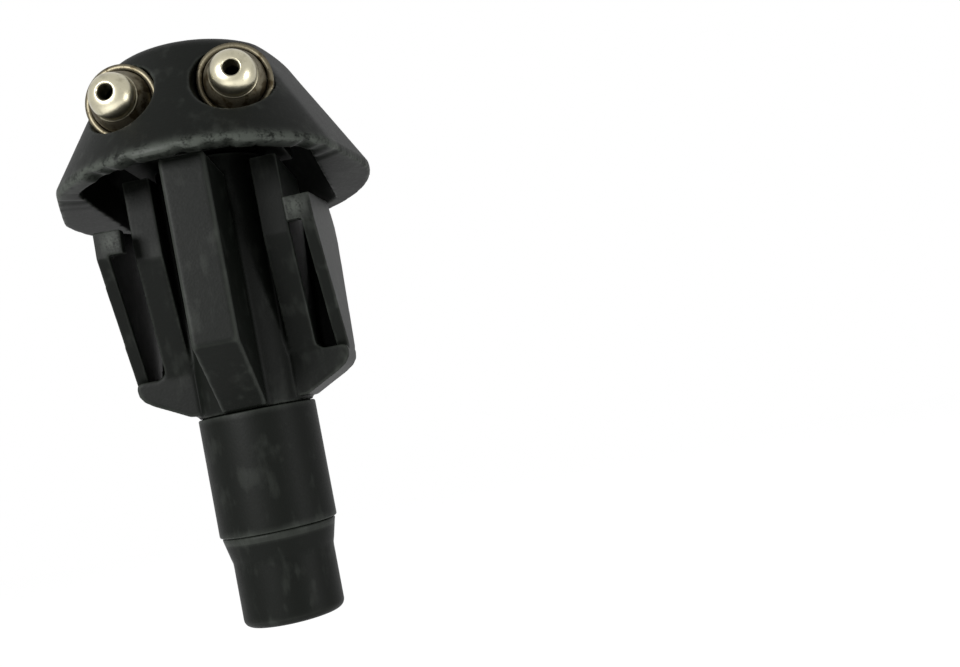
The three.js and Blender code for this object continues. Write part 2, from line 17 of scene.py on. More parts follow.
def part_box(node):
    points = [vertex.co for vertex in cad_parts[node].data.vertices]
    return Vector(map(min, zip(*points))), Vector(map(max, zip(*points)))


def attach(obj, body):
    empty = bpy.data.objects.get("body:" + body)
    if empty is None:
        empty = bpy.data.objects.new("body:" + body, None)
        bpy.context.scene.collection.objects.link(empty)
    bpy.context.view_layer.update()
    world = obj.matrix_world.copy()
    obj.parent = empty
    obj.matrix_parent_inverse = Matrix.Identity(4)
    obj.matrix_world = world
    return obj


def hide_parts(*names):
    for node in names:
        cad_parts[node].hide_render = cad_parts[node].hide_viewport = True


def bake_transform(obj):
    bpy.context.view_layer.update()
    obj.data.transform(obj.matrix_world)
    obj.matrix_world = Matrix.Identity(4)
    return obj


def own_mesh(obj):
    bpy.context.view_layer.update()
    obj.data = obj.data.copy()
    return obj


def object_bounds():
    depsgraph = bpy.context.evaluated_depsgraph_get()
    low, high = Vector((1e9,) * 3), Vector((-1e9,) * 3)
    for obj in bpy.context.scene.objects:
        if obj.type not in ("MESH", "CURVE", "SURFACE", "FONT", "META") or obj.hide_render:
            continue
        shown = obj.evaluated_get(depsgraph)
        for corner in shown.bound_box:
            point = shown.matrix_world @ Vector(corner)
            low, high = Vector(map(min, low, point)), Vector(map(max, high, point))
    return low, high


bl_info = {
    "name": "Washer nozzle",
    "version": (1, 0, 0),
    "blender": (4, 5, 0),
    "location": "3D View > Sidebar > Nozzle",
    "description": "Builds the surfaces, finishes and stage of a twin-jet washer nozzle",
    "category": "Object",
}

MM = 0.001
ROUND = 128  # steps round a large turned piece
FINE = 72  # steps round a small turned piece
LARGE_GRAIN = 0.12  # edge radius of the cap and the body, in millimetres
TONGUE_GRAIN = 0.095
CAGE_GRAIN = 0.06

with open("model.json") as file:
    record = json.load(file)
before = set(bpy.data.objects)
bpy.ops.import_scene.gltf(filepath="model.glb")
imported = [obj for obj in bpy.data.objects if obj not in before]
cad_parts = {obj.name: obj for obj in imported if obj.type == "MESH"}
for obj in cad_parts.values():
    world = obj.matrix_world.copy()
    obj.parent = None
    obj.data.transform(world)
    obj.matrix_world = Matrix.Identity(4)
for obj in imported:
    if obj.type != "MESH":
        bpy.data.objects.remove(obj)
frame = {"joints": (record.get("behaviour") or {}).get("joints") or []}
cad_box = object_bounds()


def span(node):
    """Lowest and highest corners of a CAD node, in millimetres."""
    low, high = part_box(node)
    return np.array(low) / MM, np.array(high) / MM


def joint(name):
    """The packed joint of that name."""
    return next(j for j in frame["joints"] if j["name"] == name)


def joint_place(name):
    """Where a joint stands, in millimetres."""
    return Vector(joint(name)["pos_m"]) / MM


def millimetres(name, default, description):
    return FloatProperty(name=name, description=description, default=default * MM, unit="LENGTH",
                         precision=5)


def degrees(name, default, description):
    return FloatProperty(name=name, description=description, default=math.radians(default),
                         subtype="ANGLE")


def factor(name, default, description):
    return FloatProperty(name=name, description=description, default=default, min=0, max=1,
                         subtype="FACTOR")


def colour(name, default, description):
    return FloatVectorProperty(name=name, description=description, default=default, size=3, min=0,
                               max=1, subtype="COLOR")


# ---- sizes and colours that a user would change ------------------------------------------------


class CapSizes(bpy.types.PropertyGroup):
    """Sizes of the cap."""

    height: millimetres("Height", 9.25, "From the underside to the top")
    tilt: degrees("Tilt", 4.9, "How far the cap leans back on the stem")
    pivot: millimetres("Pivot", -6.2, "Place along Y where the underside stays level")
    top_radius: millimetres("Top radius", 5.6, "Where the cone would meet the top")
    edge: millimetres("Edge radius", 1.7, "Round between the cone and the top")
    crown: millimetres("Crown", 0.35, "Rise of the domed top")
    rim: millimetres("Rim", 0.5, "Upright band at the foot")
    wall: millimetres("Wall", 1.25, "Thickness of the cone's wall")
    roof: millimetres("Roof", 2.1, "Thickness of the top")
    hollow: millimetres("Hollow half width", 7.3, "Half the width of the hollow below")
    facet_from: degrees("Facet from", 56, "Angle from the front where a side flat starts")
    facet_to: degrees("Facet to", 90, "Angle from the front where a side flat ends")
    crease: millimetres("Crease", 0.12, "Softness of the line beside a flat")
    mouth: millimetres("Mouth radius", 2.55, "Round recess that a ball stands in")
    block_floor: millimetres("Block floor", 1.8, "Underside of the block behind the sockets")
    nick: millimetres("Nicks", 0.14, "Depth of the nicks in the front lower edge")


class BodySizes(bpy.types.PropertyGroup):
    """Sizes of the moulded body."""

    core: millimetres("Core radius", 3.75, "Radius of the round core")
    head: millimetres("Head radius", 2.3, "Radius of the tube inside the cap")
    rib: millimetres("Rib width", 2.85, "Width of the front and rear rib")
    rib_top: millimetres("Rib top", 0.3, "How far the ribs reach into the cap")
    rib_foot: millimetres("Rib foot", -11, "Height where a rib starts to slope back")
    rib_end: millimetres("Rib end", -14.4, "Height where a rib meets the core")
    rib_end_reach: millimetres("Rib end reach", 4.5, "How far a rib's end stands out")
    web_inner: millimetres("Web inside", 3.2, "Inner face of a web")
    web_outer: millimetres("Web outside", 4.95, "Outer face of a web")
    web_reach: millimetres("Web reach", 4.2, "How far a web reaches forward")
    web_shoulder: millimetres("Web shoulder", -4.5, "Height where a web starts to narrow")
    foot_reach: millimetres("Foot reach", 2.2, "Half the depth of a wing's foot")
    foot_top: millimetres("Foot top", -12, "Bottom of the slot behind a tongue")
    foot_corner: millimetres("Foot corner", 0.4, "Upright part of a foot's outer edge")
    foot_cut: millimetres("Foot cut", 0.7, "Slope below that edge")
    foot_bottom: millimetres("Foot bottom", -14.75, "Underside of a wing's foot")
    slot_wall: millimetres("Slot wall", 0.8, "Wall across the slot behind a tongue")
    slot_reach: millimetres("Slot wall reach", 3.2, "How far back that wall stands at the top")
    slot_foot: millimetres("Slot wall foot", 1.0, "How far back it stands at its foot")


class TongueSizes(bpy.types.PropertyGroup):
    """Sizes of a snap tongue."""

    wall: millimetres("Wall", 0.8, "Thickness of the tongue")
    reach: millimetres("Reach", 6.0, "How far the tongue reaches forward")
    rear_reach: millimetres("Rear reach", 5.6, "How far it reaches back")
    top_front: millimetres("Top at the front", -2.6, "Height of the locking edge at the front")
    top_rear: millimetres("Top at the rear", -1.36, "Height of the locking edge at the rear")
    top_reach: millimetres("Top reach", 4.2, "Where the locking edge ends at the rear")
    ear: millimetres("Rear corner", -3.1, "Height of the rear corner")
    lean: degrees("Lean", 1.5, "How far the tongue leans inwards")
    bend: degrees("Bend", 4.5, "How far the tongue bends")
    shoulder: millimetres("Shoulder", -4.3, "Height where the tongue starts to narrow")
    foot_reach: millimetres("Foot reach", 1.8, "Half the width of the root")
    stop_width: millimetres("Stop width", 0.9, "Width of the stop")
    stop_depth: millimetres("Stop depth", 0.8, "Depth of the stop")
    stop_height: millimetres("Stop height", 1.5, "Height of the stop")


class JetSizes(bpy.types.PropertyGroup):
    """Sizes of a ball jet and its seat."""

    ball: millimetres("Ball radius", 1.95, "Radius of the ball")
    nose: millimetres("Nose radius", 1.45, "Radius of the domed nose")
    reach: millimetres("Nose reach", 2.5, "From the ball's centre to the tip of the nose")
    orifice: millimetres("Orifice radius", 0.5, "Radius of the hole in the nose")
    bore: millimetres("Bore radius", 0.75, "Radius of the water bore behind")
    gap: millimetres("Gap", 0.08, "Room between the ball and its ring")
    ring: millimetres("Ring wall", 0.35, "Thickness of the seat ring")
    ring_front: millimetres("Ring front", 0.25, "Ring's front edge before the centre")
    ring_back: millimetres("Ring back", 0.75, "Ring's back edge behind the centre")
    rise: degrees("Rise", 2.0, "How far above level the jets are set")


class Finishes(bpy.types.PropertyGroup):
    """Colours and strength of the wear."""

    plastic: colour("Plastic", (0.0016, 0.0021, 0.0015), "Near-black moulding")
    scuff: colour("Scuffs", (0.026, 0.029, 0.025), "Plastic where it is rubbed")
    metal: colour("Jet metal", (0.46, 0.43, 0.32), "Dull nickelled brass")
    # This brown is also painted as shade: in the jets' hollows, on the ball behind the nose and
    # over the seat rings.
    tarnish: colour("Tarnish", (0.045, 0.034, 0.018), "Brown in the metal's corners")
    wear: factor("Wear", 0.6, "How strong the rubbed edges show")


class StageSettings(bpy.types.PropertyGroup):
    """Camera, floor and light."""

    lens: FloatProperty(name="Lens", description="Focal length", default=40.7, unit="CAMERA")
    roll: degrees("Roll", -11.26, "Lean of the camera about its own axis")
    pitch: degrees("Pitch", -3.05, "Nod of the camera")
    heading: degrees("Heading", 0.66, "Turn of the object before the camera")
    across: millimetres("Across", -17.72, "Where the origin lies across the view")
    below: millimetres("Below", -9.67, "Where the origin lies down the view")
    away: millimetres("Away", 72.87, "How far the origin lies from the camera")
    floor_gap: millimetres("Floor gap", 45, "Room below the hose end")
    steps: IntProperty(name="Floor steps", description="Faces along the floor", default=8, min=1)


# ---- surfaces ----------------------------------------------------------------------------------


def arc(centre, radius, start, stop, steps=10):
    """Points of a circle's arc: the centre plus the radius times cosine and sine of the angle."""
    angle = np.radians(np.linspace(start, stop, steps + 1))
    return np.stack([centre[0] + radius * np.cos(angle), centre[1] + radius * np.sin(angle)], 1)


def soft_min(a, b, softness):
    """The smaller of two fields, with a round of about that softness where they cross."""
    return 0.5 * (a + b - np.sqrt((a - b) ** 2 + softness**2))


def wrap_faces(rows, columns, closed_rows=False):
    """Quads of a grid that closes round its columns, and along its rows if asked."""
    last = rows if closed_rows else rows - 1
    i = np.arange(last)[:, None]
    j = np.arange(columns)[None, :]
    low = i * columns
    high = ((i + 1) % rows) * columns
    after = (j + 1) % columns
    return np.stack([low + j, low + after, high + after, high + j], -1).reshape(-1, 4)


def turned(profile, around=ROUND):
    """Profile carried round Z: x and y are its radius times the angle's cosine and sine."""
    profile = np.asarray(profile, float)
    angle = np.linspace(0, 2 * math.pi, around, endpoint=False)
    r = profile[:, 0][:, None]
    z = np.broadcast_to(profile[:, 1][:, None], (len(profile), around))
    grid = np.stack([r * np.cos(angle), r * np.sin(angle), z], -1)
    closed = not np.allclose(profile[0, 0], 0) or not np.allclose(profile[-1, 0], 0)
    return grid.reshape(-1, 3), wrap_faces(len(profile), around, closed_rows=closed).tolist()


def rod(radius, low, high, around=FINE):
    """Solid round rod on the axis, from one height to another."""
    return turned([[0, low], [radius, low], [radius, high], [0, high]], around)


def prism(outline, low, high, axis):
    """Closed outline carried straight along an axis: two copies of it, joined by side faces."""
    outline = np.asarray(outline, float)
    count = len(outline)
    points = np.empty((2, count, 3))
    others = [a for a in range(3) if a != axis]
    points[:, :, others[0]] = outline[:, 0]
    points[:, :, others[1]] = outline[:, 1]
    points[0, :, axis] = low
    points[1, :, axis] = high
    faces = wrap_faces(2, count).tolist()
    faces.append(list(range(count - 1, -1, -1)))
    faces.append(list(range(count, 2 * count)))
    return points.reshape(-1, 3), faces


def box(centre, size):
    """Rectangular block from its centre and full size."""
    x, y, z = np.asarray(size, float) / 2
    outline = np.array([[-x, -y], [x, -y], [x, y], [-x, y]]) + np.asarray(centre[:2], float)
    return prism(outline, centre[2] - z, centre[2] + z, 2)


def moved(shape, matrix):
    """Shape with its points turned and shifted by a 4 by 4 matrix in millimetres."""
    points, faces = shape
    m = np.array(matrix)
    return points @ m[:3, :3].T + m[:3, 3], faces


def turn_about(point, angle, axis):
    """Matrix of a turn by an angle in degrees about an axis through a point."""
    shift = Matrix.Translation(point)
    return shift @ Matrix.Rotation(math.radians(angle), 4, axis) @ shift.inverted()


def tube_along(path, radius, sides):
    """Circle carried along a path: each ring stands square to the path's own direction.

    A ring's first radius is the path's direction crossed with Z, so no path runs straight up.
    """
    path = np.asarray(path, float)
    ahead = np.gradient(path, axis=0)
    ahead /= np.linalg.norm(ahead, axis=1)[:, None]
    side = np.cross(ahead, [0, 0, 1])
    side /= np.linalg.norm(side, axis=1)[:, None]
    up = np.cross(side, ahead)
    angle = np.linspace(0, 2 * math.pi, sides, endpoint=False)[None, :, None]
    grid = path[:, None] + radius * (np.cos(angle) * side[:, None] + np.sin(angle) * up[:, None])
    faces = wrap_faces(len(path), sides).tolist()
    faces.append(list(range(sides)))
    faces.append(list(range((len(path) - 1) * sides, len(path) * sides)))
    return grid.reshape(-1, 3), faces


# ---- meshes ------------------------------------------------------------------------------------


def make_mesh(name, shapes):
    """One mesh object from closed shapes, in metres, with doubles merged and faces outwards."""
    mesh = bpy.data.meshes.new(name)
    starts = np.cumsum([0] + [len(points) for points, _ in shapes])
    points = np.concatenate([points for points, _ in shapes]) * MM
    faces = [[int(corner) + int(start) for corner in face]
             for (_, own_faces), start in zip(shapes, starts) for face in own_faces]
    mesh.from_pydata(points.tolist(), [], faces)
    work = bmesh.new()
    work.from_mesh(mesh)
    bmesh.ops.remove_doubles(work, verts=work.verts, dist=1e-7)
    bmesh.ops.dissolve_degenerate(work, edges=work.edges, dist=1e-8)
    bmesh.ops.recalc_face_normals(work, faces=work.faces)
    work.to_mesh(mesh)
    work.free()
    piece = bpy.data.objects.new(name, mesh)
    bpy.context.scene.collection.objects.link(piece)
    return piece


def settle(piece):
    """Replaces the piece's mesh by what its modifiers make of it."""
    bpy.context.view_layer.update()
    solved = piece.evaluated_get(bpy.context.evaluated_depsgraph_get())
    finished = bpy.data.meshes.new_from_object(solved)
    finished.name = piece.name
    piece.modifiers.clear()
    piece.data = finished


def combine(piece, other, operation):
    """Cuts a piece by another object, or keeps what both share, and removes the other object."""
    step = piece.modifiers.new("combine", "BOOLEAN")
    step.operation = operation
    step.solver = "EXACT"
    step.use_self = True
    step.object = other
    settle(piece)
    bpy.data.objects.remove(other)


def moulded(name, solids, cuts, grain, smooth=4):
    """Joins closed shapes, cuts others out and rounds every edge by about the size of the grain."""
    piece = make_mesh(name, solids)
    if cuts:
        combine(piece, make_mesh(name + "_cut", cuts), "DIFFERENCE")
    skin = piece.modifiers.new("skin", "REMESH")
    skin.mode = "VOXEL"
    skin.voxel_size = grain * MM
    even = piece.modifiers.new("even", "SMOOTH")
    even.factor = 0.5
    even.iterations = smooth
    settle(piece)
    return piece


def positions(mesh):
    """The mesh's points as an array, in metres."""
    points = np.empty(len(mesh.vertices) * 3)
    mesh.vertices.foreach_get("co", points)
    return points.reshape(-1, 3)


def points_before(piece, place):
    """The piece's points in millimetres, taken back to where they were before it was placed."""
    back = np.array(place.inverted())
    return positions(piece.data) / MM @ back[:3, :3].T + back[:3, 3]


def store(piece, name, values):
    """Keeps one number for each point of a piece, as an attribute of that name."""
    layer = piece.data.attributes.new(name, "FLOAT", "POINT")
    layer.data.foreach_set("value", values.astype(np.float32))


def mark_edges(piece, passes=10):
    """Stores how far each point stands out of its smoothed surroundings, as the attribute edge.

    Each pass moves a copy of the points half way to the mean of their neighbours. The distance is
    then taken along the point's normal.
    """
    mesh = piece.data
    edges = np.empty(len(mesh.edges) * 2, np.int64)
    mesh.edges.foreach_get("vertices", edges)
    a, b = edges.reshape(-1, 2).T
    start = positions(mesh)
    count = np.maximum(np.bincount(np.concatenate([a, b]), minlength=len(start)), 1)[:, None]
    smooth = start.copy()
    for _ in range(passes):
        total = np.zeros_like(smooth)
        for axis in range(3):
            total[:, axis] = (np.bincount(a, smooth[b, axis], len(start))
                              + np.bincount(b, smooth[a, axis], len(start)))
        smooth = 0.5 * smooth + 0.5 * total / count
    normal = np.empty(len(mesh.vertices) * 3)
    mesh.vertex_normals.foreach_get("vector", normal)
    out = ((start - smooth) * normal.reshape(-1, 3)).sum(1) / MM
    store(piece, "edge", out)


def finish_piece(piece, material, body, nodes, edges=True):
    """Gives a piece its shading, finish and body, and hides the CAD nodes that it stands for."""
    piece.data.shade_smooth()
    if edges:
        mark_edges(piece)
    piece.data.materials.clear()
    piece.data.materials.append(material)
    if body:
        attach(piece, body)
    if nodes:
        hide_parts(*nodes)
    return piece


# ---- finishes ----------------------------------------------------------------------------------


class Wire:
    """A number socket: arithmetic on it adds one Math node for each operator."""

    def __init__(self, finish, socket):
        self.finish = finish
        self.socket = socket

    def maths(self, operation, *values, clamp=False):
        settings = {"operation": operation, "use_clamp": clamp}
        return self.finish.node("ShaderNodeMath", settings, dict(enumerate(values)))

    def __add__(self, other):
        return self.maths("ADD", self, other)

    __radd__ = __add__

    def __sub__(self, other):
        return self.maths("SUBTRACT", self, other)

    def __rsub__(self, other):
        return self.maths("SUBTRACT", other, self)

    def __mul__(self, other):
        return self.maths("MULTIPLY", self, other)

    __rmul__ = __mul__

    def clipped(self):
        return self.maths("ADD", self, 0.0, clamp=True)


MIX_FIRST, MIX_SECOND, MIX_RESULT = 6, 7, 2  # colour sockets of a Mix node


class Finish:
    """One material: adds nodes and joins them to its shader."""

    def __init__(self, name):
        self.material = bpy.data.materials.new(name)
        self.material.use_nodes = True
        self.nodes = self.material.node_tree.nodes
        self.links = self.material.node_tree.links
        self.shader = self.nodes["Principled BSDF"]

    def node(self, kind, settings, inputs, output=0):
        """Adds a node: its settings first, then a value or a link for each named input."""
        made = self.nodes.new(kind)
        for key, value in settings.items():
            setattr(made, key, value)
        self.fill(made, inputs)
        return Wire(self, made.outputs[output])

    def fill(self, made, inputs):
        """Sets each named input of a node to its value, or joins its link."""
        for key, value in inputs.items():
            if isinstance(value, Wire):
                self.links.new(value.socket, made.inputs[key])
            else:
                made.inputs[key].default_value = value

    def place(self):
        return self.node("ShaderNodeTexCoord", {}, {}, "Object")

    def noise(self, size, detail=2.0, roughness=0.5, stretch=(1, 1, 1)):
        """Noise from 0 to 1 whose blobs are about that many millimetres across."""
        scale = tuple(s / (size * MM) for s in stretch)
        at = self.node("ShaderNodeMapping", {}, {"Vector": self.place(), "Scale": scale})
        return self.node("ShaderNodeTexNoise", {}, {
            "Vector": at, "Scale": 1.0, "Detail": detail, "Roughness": roughness})

    def ramp(self, value, low, high):
        """Runs from 0 to 1 while the value goes from low to high."""
        return self.node("ShaderNodeMapRange", {"interpolation_type": "SMOOTHSTEP"}, {
            "Value": value, "From Min": low, "From Max": high})

    def blend(self, mask, first, second):
        """Colour that runs from the first to the second as the mask goes from 0 to 1."""
        return self.node("ShaderNodeMix", {"data_type": "RGBA"}, {
            "Factor": mask, MIX_FIRST: (*first, 1.0), MIX_SECOND: (*second, 1.0)}, MIX_RESULT)

    def attribute(self, name):
        """Number stored at the piece's points."""
        return self.node("ShaderNodeAttribute", {"attribute_name": name}, {}, "Fac")

    def bump(self, height, distance, strength=1.0):
        """Normal of a surface raised by a height from 0 to 1, over that many millimetres."""
        return self.node("ShaderNodeBump", {}, {
            "Height": height, "Distance": distance * MM, "Strength": strength})

    def set(self, **values):
        """Sets or links the shader's sockets, named with underscores for spaces."""
        self.fill(self.shader, {key.replace("_", " "): value for key, value in values.items()})
        return self.material


def moulded_plastic(name, finishes, scuffs=1.0):
    """Near-black moulding: fine sparked grain, faint mottling, rubbed edges and dusty streaks."""
    f = Finish(name)
    grain = f.noise(0.14, detail=3.0, roughness=0.6)
    mottle = f.noise(1.7, detail=3.0)
    streak = f.noise(0.5, detail=2.0, stretch=(1, 1, 0.25))
    edge = f.ramp(f.attribute("edge") + (mottle - 0.5) * 0.03, 0.012, 0.06)
    patch = f.ramp(mottle * 0.6 + streak * 0.4, 0.52, 0.68)
    worn = (edge * (0.35 + streak * 0.65) + patch * 0.28 * scuffs) * finishes.wear
    worn = (worn + f.attribute("rub") * f.ramp(grain * 0.5 + streak * 0.5, 0.36, 0.56)).clipped()
    colour_out = f.blend(worn, finishes.plastic, finishes.scuff)
    return f.set(
        Base_Color=colour_out,
        Roughness=0.5 - worn * 0.06 + (grain - 0.5) * 0.16,
        Specular_IOR_Level=0.07,
        Normal=f.bump(grain * 0.7 + mottle * 1.5, 0.02, 0.5),
    )


def jet_metal(name, finishes, pocket_shade=0.0):
    """Dull nickelled brass: fine turning marks, brown patina in clouds, small dark specks and
    painted shade in hollows.
    """
    f = Finish(name)
    cloud = f.noise(0.7, detail=3.0)
    speck = f.noise(0.12, detail=1.0)
    # Painted shade: concave places, such as the crease at the nose's foot and the orifice, are
    # darkened.
    hollow = 1.0 - f.ramp(f.attribute("edge"), -0.05, 0.01)
    # The mask of the dark brown is partly real and partly painted: patina clouds and specks are the
    # metal's own, while the hollows, the ball behind the nose and the seat ring are darkened as
    # painted shade.
    tarnish = (hollow * 0.75 + f.ramp(cloud, 0.5, 0.75) * 0.35 + f.ramp(speck, 0.66, 0.8) * 0.4
               + f.attribute("ball_shade") * (0.55 + cloud * 0.6) + pocket_shade).clipped()
    return f.set(
        Base_Color=f.blend(tarnish, finishes.metal, finishes.tarnish),
        Metallic=1.0,
        Roughness=0.3 + tarnish * 0.25 + (speck - 0.5) * 0.1,
        Normal=f.bump(cloud * 2.0 + speck, 0.01, 0.4),
    )


def soft_rubber(name):
    """Matte black rubber with a faint bloom."""
    f = Finish(name)
    bloom = f.noise(0.4, detail=3.0)
    return f.set(
        Base_Color=f.blend(f.ramp(bloom, 0.45, 0.75), (0.012, 0.012, 0.013), (0.03, 0.03, 0.032)),
        Roughness=0.7 + bloom * 0.2,
        Specular_IOR_Level=0.3,
        Normal=f.bump(bloom, 0.01, 0.4),
    )


def white_plastic(name):
    """Cream-white unpainted moulding of the valve and the strainer."""
    f = Finish(name)
    cloud = f.noise(0.8, detail=2.0)
    return f.set(
        Base_Color=f.blend(cloud, (0.74, 0.72, 0.66), (0.62, 0.59, 0.52)),
        Roughness=0.42 + cloud * 0.12,
        Normal=f.bump(cloud, 0.008, 0.5),
    )


def wire_steel(name):
    """Drawn steel with fine streaks."""
    f = Finish(name)
    streak = f.noise(0.1, detail=2.0, stretch=(1, 1, 0.2))
    return f.set(
        Base_Color=f.blend(streak, (0.6, 0.61, 0.62), (0.42, 0.43, 0.44)),
        Metallic=1.0,
        Roughness=0.26 + streak * 0.14,
        Normal=f.bump(streak, 0.004, 0.4),
    )


def screen_mesh(name):
    """Woven steel screen: crossed fine wires, with the gaps between them painted near-black as
    shade.
    """
    f = Finish(name)
    wires = 3800.0  # in a metre
    at = f.node("ShaderNodeMapping", {}, {"Vector": f.place(), "Scale": (wires, wires, wires)})
    weave = f.node("ShaderNodeTexVoronoi", {"distance": "CHEBYCHEV"}, {
        "Vector": at, "Scale": 1.0, "Randomness": 0.0})
    # The gaps are painted near-black, as the shade seen through the weave.
    hole = 1.0 - f.ramp(weave, 0.3, 0.4)
    return f.set(
        Base_Color=f.blend(hole, (0.5, 0.51, 0.52), (0.02, 0.02, 0.02)),
        Metallic=1.0,
        Roughness=0.35 + hole * 0.3,
        Normal=f.bump(1.0 - hole, 0.03, 0.6),
    )


MADE = {}  # finishes by name


def finish(maker, name, *values):
    """A finish by name, made once."""
    if name not in MADE:
        MADE[name] = maker(name, *values)
    return MADE[name]


def black_plastic():
    """The finish of every black moulding."""
    return finish(moulded_plastic, "black_plastic", bpy.context.scene.nozzle_finishes)


# ---- pieces ------------------------------------------------------------------------------------


def inside_mm(group):
    """The group's sizes by name: lengths in millimetres and angles in degrees."""
    sizes = {}
    for key in group.__annotations__:
        value = getattr(group, key)
        is_angle = group.bl_rna.properties[key].unit == "ROTATION"
        sizes[key] = math.degrees(value) if is_angle else value / MM
    return type("Sizes", (), sizes)


def cap_radius(angle, radius, height, cap, reach):
    """Radius of the cap's cone at each angle: the cone itself, held in by two flat sides.

    A flat stands at the distance of its chord from the axis, divided by the cosine of the angle
    from the flat's middle; the smaller of cone and flats counts, with a soft crease.
    """
    counts_within = 1.2  # radians to each side of a flat's middle
    slope = (reach - cap.top_radius) / (height[1] - cap.rim)
    half = math.radians(cap.facet_to - cap.facet_from) / 2
    middle = math.radians(cap.facet_to + cap.facet_from) / 2
    chord = reach * math.cos(half) - slope * np.maximum(height[0] - cap.rim, 0)
    for side in (-1, 1):
        away = np.angle(np.exp(1j * (angle + math.pi / 2 - side * middle)))
        flat = chord / np.maximum(np.cos(away), 0.1)
        held_in = soft_min(radius, flat, cap.crease)
        radius = np.where(np.abs(away) < counts_within, held_in, radius)
    return radius


def cap_tilt(cap):
    """Matrix that leans a cap made upright back on the stem."""
    return turn_about((0, cap.pivot, 0), -cap.tilt, "X")


def cap_shell(cap, reach, top, around=360, inset=None):
    """Skin of the cap on one grid: crown, rounded edge, cone, rim, and back up the hollow.

    With an inset the grid is the solid outside instead, made smaller by the inset. Nicks lift the
    front lower edge by a sum of three sines of the angle.
    """
    slope = (reach - cap.top_radius) / (top - cap.rim)
    lean = math.atan(slope)
    edge_z = top - cap.crown - cap.edge
    edge_r = reach - slope * (edge_z - cap.rim) - cap.edge / math.cos(lean)
    crown = np.linspace(0, 1, 12)[:-1, None]
    cone = 4  # height above the rim where the cone's even rows start
    lip = 0.08  # bevel round the underside
    outer = np.concatenate([
        np.hstack([edge_r * crown, top - cap.crown * crown**2]),
        arc((edge_r, edge_z), cap.edge, 90, math.degrees(lean), 12),
        np.linspace([reach - slope * cone, cap.rim + cone], [reach, cap.rim], 10),
        [[reach, lip], [reach - lip, 0]],
    ])
    roof = top - cap.roof
    inner_foot = reach + slope * cap.rim - cap.wall / math.cos(lean)
    foot, corner_height, corner_depth, roof_middle = 0.1, 0.8, 0.5, 2
    corner = roof - corner_height
    inner = np.concatenate([
        [[inner_foot, 0]],
        np.linspace([inner_foot - slope * foot, foot], [inner_foot - slope * corner, corner], 8),
        [[inner_foot - slope * roof - corner_depth, roof], [roof_middle, roof], [0, roof]],
    ])
    angle = np.linspace(0, 2 * math.pi, around, endpoint=False)[None]
    z_out = outer[:, 1][:, None]
    r_out = cap_radius(angle, outer[:, 0][:, None] + 0 * angle, (z_out, top), cap, reach)
    r_in = inner[:, 0][:, None] + 0 * angle
    r_in = soft_min(r_in, cap.hollow / np.maximum(np.abs(np.cos(angle)), 0.05), 0.1)
    r_in[-1] = 0
    r = np.concatenate([r_out, r_in])
    r[0] = 0
    z = np.concatenate([z_out, inner[:, 1][:, None]]) + 0 * angle
    front = np.clip(-np.sin(angle) - 0.3, 0, 1)
    waves = np.sin(9 * angle + 1) + np.sin(23 * angle) + np.sin(41 * angle + 2)
    lowest_rows = np.abs(z) < 0.1
    z = np.where(lowest_rows, z + cap.nick * np.clip(waves, 0, 2) * np.minimum(2 * front, 1), z)
    if inset is not None:
        count = len(outer)
        r = np.concatenate([np.maximum(r[:count] - inset, 0), 0 * angle])
        z = np.concatenate([z[:count] - inset, z[count - 1:count] - inset])
    grid = np.stack([r * np.cos(angle), r * np.sin(angle), z], -1)
    return grid.reshape(-1, 3), wrap_faces(len(z), around).tolist()


def socket_frame(node_joint, side_aim=0.0, down=0.0):
    """Matrix from a turned shape on +Z to a jet's place, aimed to the side and down in degrees."""
    to_side = Matrix.Rotation(math.radians(side_aim), 4, "Z")
    to_front = Matrix.Rotation(math.radians(90 + down), 4, "X")
    return Matrix.Translation(joint_place(node_joint)) @ (to_side @ to_front)


def kept_inside(shapes, limit):
    """The part of some closed shapes that lies inside another closed shape."""
    piece = make_mesh("part", shapes)
    combine(piece, make_mesh("limit", [limit]), "INTERSECT")
    shape = positions(piece.data) / MM, [list(face.vertices) for face in piece.data.polygons]
    bpy.data.objects.remove(piece)
    return shape


def build_cap(scene):
    """Cap with its manifold block, both jet pockets and the bore for the body's head tube."""
    cap = inside_mm(scene.nozzle_cap)
    jet = inside_mm(scene.nozzle_jet)
    body = inside_mm(scene.nozzle_body)
    reach = span("cap")[1][0]
    lean = cap_tilt(cap)
    roof = cap.height - cap.roof
    centre = joint_place("left_jet_pan")
    fit = 0.05  # room round a piece that plugs in
    out_of_cap = 9  # from a jet's centre to well outside
    bore_depth = 5
    bore_wall = 0.85
    boss_wall = 0.8
    block_ends = 3  # what the block adds to the width between the jets
    inset = 0.06  # how far the inner parts stay under the outside
    pocket_radius = jet.ball + jet.gap + jet.ring + jet.gap
    seal_low, seal_high = span("left_jet_seal")
    floor = seal_high[1] - centre.y
    block_back = body.head + bore_wall
    block_front = centre.y + floor
    block_top = roof + cap.roof / 2
    inner = [box((0, (block_back + block_front) / 2, (cap.block_floor + block_top) / 2),
                 (2 * -centre.x + block_ends, block_back - block_front,
                  block_top - cap.block_floor))]
    cuts = [rod(body.head + fit, -1, bore_depth)]
    seal_reach = (seal_high[0] - seal_low[0]) / 2 + fit
    start = -math.degrees(math.acos(seal_reach / pocket_radius))
    pocket = turned(np.concatenate([
        [[0, -floor], [seal_reach, -floor]],
        arc((0, 0), pocket_radius, start, 0, 16),
        [[pocket_radius, out_of_cap], [0, out_of_cap]],
    ]), FINE)
    mouth = rod(cap.mouth, 0, out_of_cap)
    boss = rod(cap.mouth + boss_wall, -floor - boss_wall, out_of_cap)
    for name in ("left_jet_pan", "right_jet_pan"):
        place = socket_frame(name)
        inner.append(moved(boss, place))
        cuts.append(moved(pocket, place))
        cuts.append(moved(mouth, place))
    limit = moved(cap_shell(cap, reach, cap.height, inset=inset), lean)
    shell = moved(cap_shell(cap, reach, cap.height), lean)
    return [shell, kept_inside(inner, limit)], cuts


